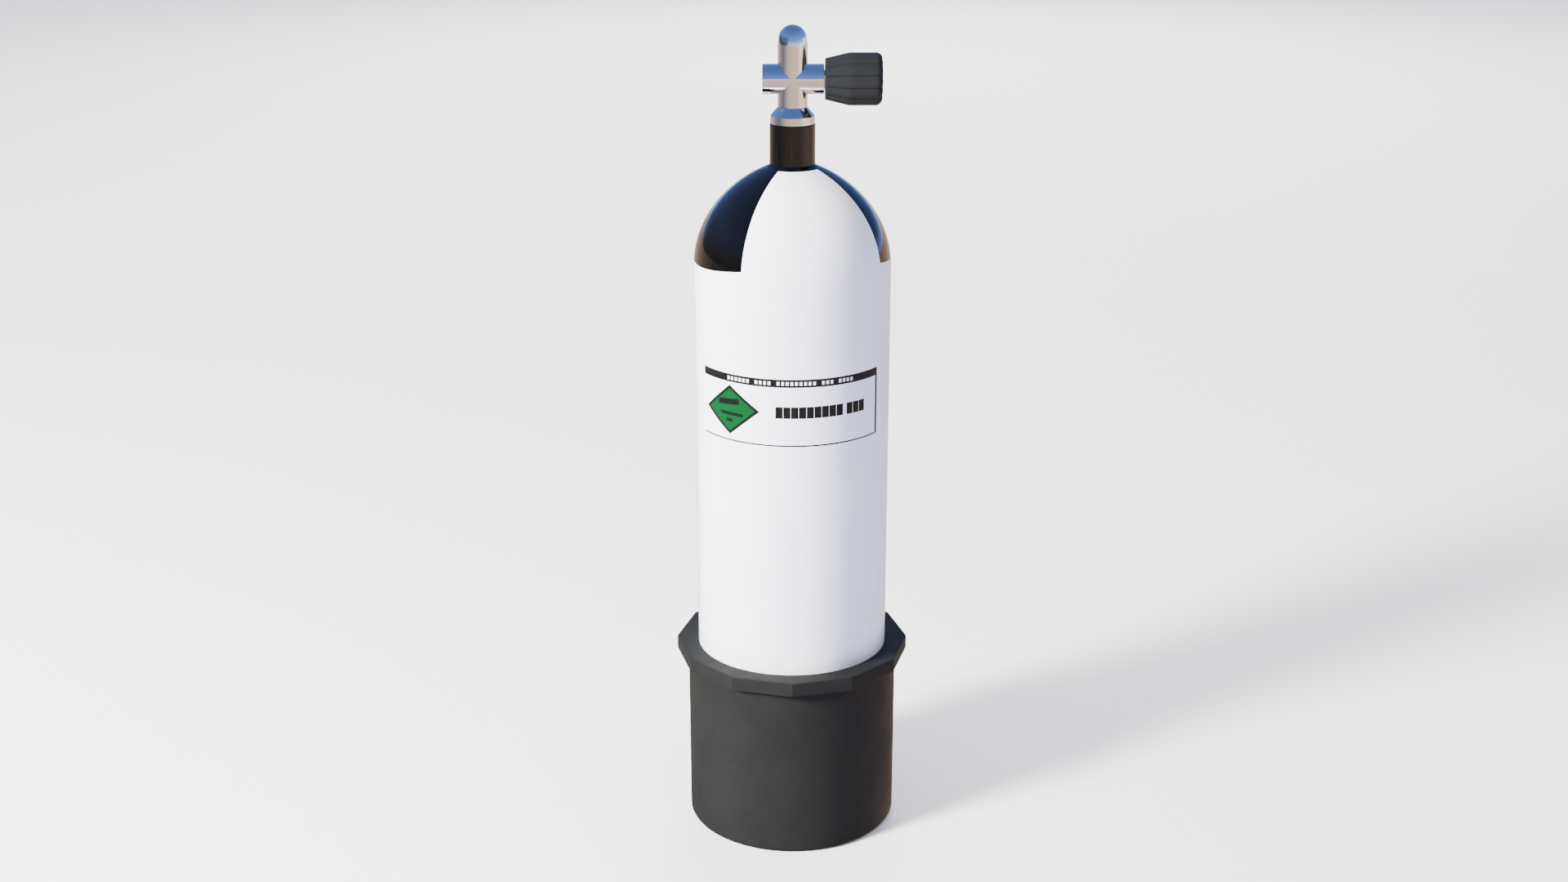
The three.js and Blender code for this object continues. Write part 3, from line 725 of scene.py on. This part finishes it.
def port_plug():
    """The screwed plug in the left stub, with a hexagon socket."""
    at = (0, 0, SPINDLE_Z)
    plug_r, face_x, end_x, edge, key_r, key_depth = 9.7, -25, -14.5, 0.5, 4.6, 5
    outline = [(0, face_x), (plug_r - edge, face_x)]
    outline += arc((plug_r - edge, face_x + edge), edge, -90, 0, 3)
    outline += [(plug_r, end_x), (0, end_x)]
    made = revolve("port_plug_fine", outline, SMALL, "x", at)
    key = cylinder("key", key_r, face_x - 1, face_x + key_depth, segments=6, axis="x", at=at)
    made = cut(made, key)
    return finish_piece(made, "tank", CHROME, "port_plug")


# ---- Handwheel -------------------------------------------------------------


def handwheel_grip():
    """The moulded rubber grip: a short taper, then a straight barrel with 12 shallow lobes."""
    small_r, full_r, wide_x, edge, lobes = 17.6, 22.2, 47.5, 5.6, 12
    depth, crease, crease_width = 0.9, 0.55, 0.13
    back_bore, front_bore, hub_bore, hub_x = 9, 8.2, 13.3, (30, 69.3)
    fade = 4  # how far the lobes run in over the end face

    def shape(radius, height, angle):
        """Sinks the valleys between the lobes along the surface's own direction."""
        if radius <= hub_bore + 0.01:
            return radius, height
        wave = abs(math.cos(lobes / 2 * angle))
        sink = depth * (1 - wave) + crease * math.exp(-((wave / crease_width) ** 2))
        end = min(1, max(0, (height - KNOB_END_X + edge) / edge))
        inward = sink * min(1, (radius - hub_bore) / fade)
        return radius - inward * math.sqrt(1 - end * end), height - inward * end

    outline = [(back_bore, KNOB_BACK_X), (15, KNOB_BACK_X), (small_r - 1, KNOB_BACK_X)]
    outline += arc((small_r - 1, KNOB_BACK_X + 1), 1, -90, 0, 4)[1:]
    rings = 8  # along the taper
    outline += [(small_r + (full_r - small_r) * i / rings,
                 KNOB_BACK_X + 1 + (wide_x - KNOB_BACK_X - 1) * i / rings) for i in range(1, rings + 1)]
    outline += [(full_r, wide_x + 4 * i) for i in range(1, 6)]
    outline += arc((full_r - edge, KNOB_END_X - edge), edge, 0, 90, 10)
    outline += [(15, KNOB_END_X), (13.9, KNOB_END_X), (13.2, KNOB_END_X), (front_bore + 0.6, KNOB_END_X)]
    outline += [(front_bore, KNOB_END_X - 0.6), (front_bore, hub_x[1]), (hub_bore, hub_x[1])]
    outline += [(hub_bore, hub_x[0]), (back_bore, hub_x[0])]
    made = revolve("grip", outline, 480, "x", (0, 0, SPINDLE_Z), shape, GRIP_SHARP)
    return finish_piece(made, "handwheel", GRIP_RUBBER, "handwheel_grip")


def handwheel_core():
    """The hard hub: a cup for the spring and the nut, with a square hole for the spindle."""
    at = (0, 0, SPINDLE_Z)
    core_r, start_x, end_x, cup_r, cup_x, square = 13, 30.3, 69, 7.8, 50, 6.4
    outline = [(0, start_x), (core_r, start_x), (core_r, end_x), (cup_r + 0.6, end_x)]
    outline += [(cup_r, end_x - 0.6), (cup_r, cup_x), (0, cup_x)]
    made = revolve("core", outline, SMALL, "x", at)
    hole = cylinder("square", square / math.sqrt(2), start_x - 1.3, cup_x + 2, segments=4,
                    axis="x", at=at)
    made = cut(made, hole)
    return finish_piece(made, "handwheel", CORE_PLASTIC, "handwheel_core")


def handwheel_nut():
    """The slotted round nut on the spindle's end."""
    at = (0, 0, SPINDLE_Z)
    bore_r, nut_r, start_x, end_x, edge, half_slot, slot_x = 2.8, 5, 58.9, 62.4, 0.5, 0.8, 61.3
    outline = [(bore_r, start_x), (nut_r, start_x), (nut_r, end_x - edge), (nut_r - edge, end_x)]
    outline += [(bore_r, end_x)]
    made = revolve("retaining_nut", outline, SMALL, "x", at)
    reach = 8  # of the slot's cutter, past the nut on both sides
    slot = mesh_object("slot", *box_faces((slot_x, -half_slot, SPINDLE_Z - reach),
                                          (end_x + 0.6, half_slot, SPINDLE_Z + reach)))
    made = cut(made, slot)
    return finish_piece(made, "handwheel", STEEL, "handwheel_nut")


def box_faces(low, high):
    """The corners and faces of a box."""
    points = [(x, y, z) for x in (low[0], high[0]) for y in (low[1], high[1])
              for z in (low[2], high[2])]
    faces = [(0, 1, 3, 2), (4, 6, 7, 5), (0, 4, 5, 1), (2, 3, 7, 6), (0, 2, 6, 4), (1, 5, 7, 3)]
    return points, faces


def handwheel_spring():
    """A round-wire helix."""
    start_x, end_x, coil_r, wire, turns, steps, sides = 50.6, 56.6, 4.4, 0.55, 3.5, 168, 12
    points, faces = [], []
    for i in range(steps + 1):
        share = i / steps
        angle = FULL_TURN * turns * share
        out = Vector((0, math.cos(angle), math.sin(angle)))
        centre = Vector((start_x + (end_x - start_x) * share, 0, SPINDLE_Z)) + coil_r * out
        for j in range(sides):
            turn = FULL_TURN * j / sides
            points.append(centre + wire * (math.cos(turn) * out + Vector((math.sin(turn), 0, 0))))
    for i in range(steps):
        for j in range(sides):
            k = (j + 1) % sides
            a, b = i * sides, (i + 1) * sides
            faces.append([a + j, a + k, b + k, b + j])
    faces.append(list(range(sides))[::-1])
    faces.append([steps * sides + j for j in range(sides)])
    made = mesh_object("spring", points, faces)
    return finish_piece(made, "handwheel", STEEL, "handwheel_spring")


def inner_pieces():
    """The CAD nodes that are shown as they are only get their materials."""
    looks = {
        "neck_o_ring": SEAL_RUBBER, "bonnet_o_ring": SEAL_RUBBER, "spindle_o_ring": SEAL_RUBBER,
        "port_plug_o_ring": SEAL_RUBBER, "dip_tube": BRASS, "upper_spindle": BRASS,
        "seat_carrier": BRASS, "seat_disc": SEAT_POLYMER, "thrust_washer": SEAT_POLYMER,
        "bonnet_nut": CHROME, "handwheel_washer": STEEL,
    }
    for node, material in looks.items():
        mesh = frame["nodes"][node].data
        mesh.materials.clear()
        mesh.materials.append(material)
        mesh.shade_smooth()
        mesh.set_sharp_from_angle(angle=SHARP)


# ---- Studio ----------------------------------------------------------------


def set_ramp(node, stops):
    """Gives a colour ramp its stops, as (position, colour) pairs."""
    elements = node.color_ramp.elements
    while len(elements) > 1:
        elements.remove(elements[-1])
    for i, (position, colour) in enumerate(stops):
        stop = elements[0] if i == 0 else elements.new(position)
        stop.position = position
        stop.color = (*colour, 1)


def mirrored_ground(look):
    """The warm ground that chrome and gloss paint mirror, lighter and darker by azimuth."""
    sand, shade, shady = (1.02, 0.74, 0.52), (0.90, 0.80, 0.80), 0.6
    tones = ((-180, 1.3), (-140, 1.0), (-100, 0.36), (-72, 0.24), (-56, 0.46), (-28, 0.88), (0, 1.05),
             (35, 1.1), (66, 1.9), (86, 1.8), (110, 1.2), (180, 1.3))
    x, y, _ = look.axes()
    azimuth = look.math("ARCTAN2", x, look.math("MULTIPLY", y, -1))
    ramp = look.tree.nodes.new("ShaderNodeValToRGB")
    look.link(look.math("MULTIPLY_ADD", azimuth, 1 / FULL_TURN, 0.5), ramp.inputs["Fac"])
    set_ramp(ramp, [(a / 360 + 0.5, tuple(tone * c for c in (sand if tone > shady else shade)))
                    for a, tone in tones])
    return ramp.outputs["Color"]


def studio_floor():
    """A wide pale floor. It bounces a cooler light back, and is mirrored as a warm sandy ground."""
    bpy.ops.mesh.primitive_plane_add(size=60)
    floor = bpy.context.object
    floor.name = "floor"
    look = Look("floor")
    grain = look.noise(3.0, 4.0)
    ray = look.tree.nodes.new("ShaderNodeLightPath").outputs
    black = (0, 0, 0)
    pale = look.mix(grain, (0.93, 0.93, 0.93), (0.90, 0.90, 0.90))
    bounced = look.mix(ray["Is Diffuse Ray"], pale, (0.46, 0.47, 0.68))
    look.set(
        Base_Color=look.mix(ray["Is Glossy Ray"], bounced, black),
        Emission_Color=look.mix(ray["Is Glossy Ray"], black, mirrored_ground(look)),
        Emission_Strength=1.0,
        Roughness=0.9,
    )
    floor.data.materials.append(look.material)


def area_light(name, place, target, size, watts, colour):
    """A round soft light that chrome doesn't mirror."""
    data = bpy.data.lights.new(name, "AREA")
    data.shape = "DISK"
    data.size = size
    data.energy = watts
    data.color = colour
    lamp = bpy.data.objects.new(name, data)
    lamp.location = place
    lamp.rotation_euler = (Vector(target) - Vector(place)).to_track_quat("-Z", "Y").to_euler()
    lamp.visible_glossy = False
    bpy.context.scene.collection.objects.link(lamp)


def studio_sky():
    """Soft light from all round, bluer and dimmer on the right.

    It is mirrored as a blue sky that is bright at the horizon, but dark there on the left.
    """
    world = bpy.data.worlds.new("studio")
    bpy.context.scene.world = world
    world.use_nodes = True
    nodes, links = world.node_tree.nodes, world.node_tree.links
    place = nodes.new("ShaderNodeTexCoord")
    split = nodes.new("ShaderNodeSeparateXYZ")
    links.new(place.outputs["Generated"], split.inputs[0])

    def blend(share, low, high, start=0.0, end=1.0):
        """A colour between two, as the share goes from start to end."""
        ranged = nodes.new("ShaderNodeMapRange")
        ranged.inputs["From Min"].default_value = start
        ranged.inputs["From Max"].default_value = end
        links.new(share, ranged.inputs["Value"])
        mix = nodes.new("ShaderNodeMix")
        mix.data_type = "RGBA"
        links.new(ranged.outputs["Result"], mix.inputs["Factor"])
        for socket, colour in ((mix.inputs["A"], low), (mix.inputs["B"], high)):
            if isinstance(colour, tuple):
                socket.default_value = (*colour, 1)
            else:
                links.new(colour, socket)
        return mix.outputs["Result"]

    sides = blend(split.outputs["X"], (0.72, 0.72, 0.80), (0.46, 0.48, 0.95), -0.7, 0.7)
    soft = blend(split.outputs["Z"], sides, (1.3, 1.3, 1.4), 0.1, 0.9)
    ramp = nodes.new("ShaderNodeValToRGB")
    links.new(split.outputs["Z"], ramp.inputs["Fac"])
    set_ramp(ramp, ((0.0, (1.20, 1.70, 2.90)), (0.06, (0.62, 0.90, 1.70)), (0.14, (0.20, 0.36, 1.00)),
                    (0.3, (0.18, 0.33, 0.88)), (0.6, (0.14, 0.26, 0.68)), (1.0, (0.09, 0.19, 0.50))))
    low = blend(split.outputs["X"], (0.10, 0.11, 0.12), ramp.outputs["Color"], -0.75, -0.35)
    blue = blend(split.outputs["Z"], low, ramp.outputs["Color"], 0.05, 0.4)
    mirrored = nodes.new("ShaderNodeLightPath").outputs["Is Glossy Ray"]
    links.new(blend(mirrored, soft, blue), nodes["Background"].inputs["Color"])


def studio():
    """The floor, the sky, two lights and the camera."""
    studio_floor()
    studio_sky()
    area_light("key", (-3.0, -2.0, 2.05), (0, 0, 0.35), 1.0, 1080, (1.0, 0.99, 0.97))
    area_light("back", (0.4, 5.5, 3.6), (0, 1.8, 0), 3.5, 560, (1.0, 1.0, 1.0))
    looking_down = 18.64  # degrees
    data = bpy.data.cameras.new("camera")
    data.sensor_width = 36
    data.lens = 46.07
    camera = bpy.data.objects.new("camera", data)
    camera.location = (-0.0072, -1.696, 0.9338)
    camera.rotation_euler = (math.radians(90 - looking_down), 0, 0)
    bpy.context.scene.collection.objects.link(camera)
    bpy.context.scene.camera = camera


cylinder_body()
label()
boot()
valve_body()
port_plug()
handwheel_grip()
handwheel_core()
handwheel_nut()
handwheel_spring()
inner_pieces()
studio()
